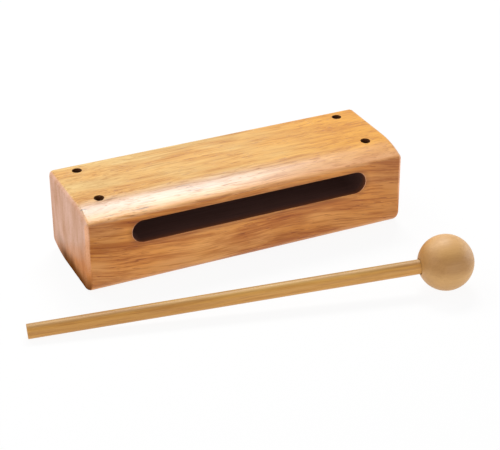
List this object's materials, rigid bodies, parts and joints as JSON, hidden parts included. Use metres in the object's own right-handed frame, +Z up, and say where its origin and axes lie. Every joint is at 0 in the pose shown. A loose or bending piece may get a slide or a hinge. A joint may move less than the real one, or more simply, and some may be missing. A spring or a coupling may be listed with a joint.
{
  "type": "wood block",
  "caption": "Varnished wooden percussion block with a long round-ended sound slot, a crowned playing edge, sunk end screws and a ball-headed beater.",
  "frame": {"origin": "middle of the block's underside, which is its flat resting face", "axes": "+X along the block to its right end, -Y out of the face with the sound slot, +Z up"},
  "size_m": [0.25, 0.158, 0.051],
  "materials": {
    "varnished_wood": "semi-gloss clear varnish over straight-grained hardwood",
    "head_wood": "satin clear lacquer",
    "shaft_wood": "satin clear lacquer",
    "blackened_steel": "blackened steel"
  },
  "bodies": {
    "block": {"block_body": "varnished_wood", "screw_front_left": "blackened_steel", "screw_front_right": "blackened_steel", "screw_back_left": "blackened_steel", "screw_back_right": "blackened_steel"},
    "beater": {"beater_shaft": "shaft_wood", "beater_head": "head_wood"}
  },
  "joints": [
    {"name": "beater_lift", "type": "slide", "parent": "block", "child": "beater", "axis": [0, 0, 1], "range_m": [0, 0.15]}
  ]
}
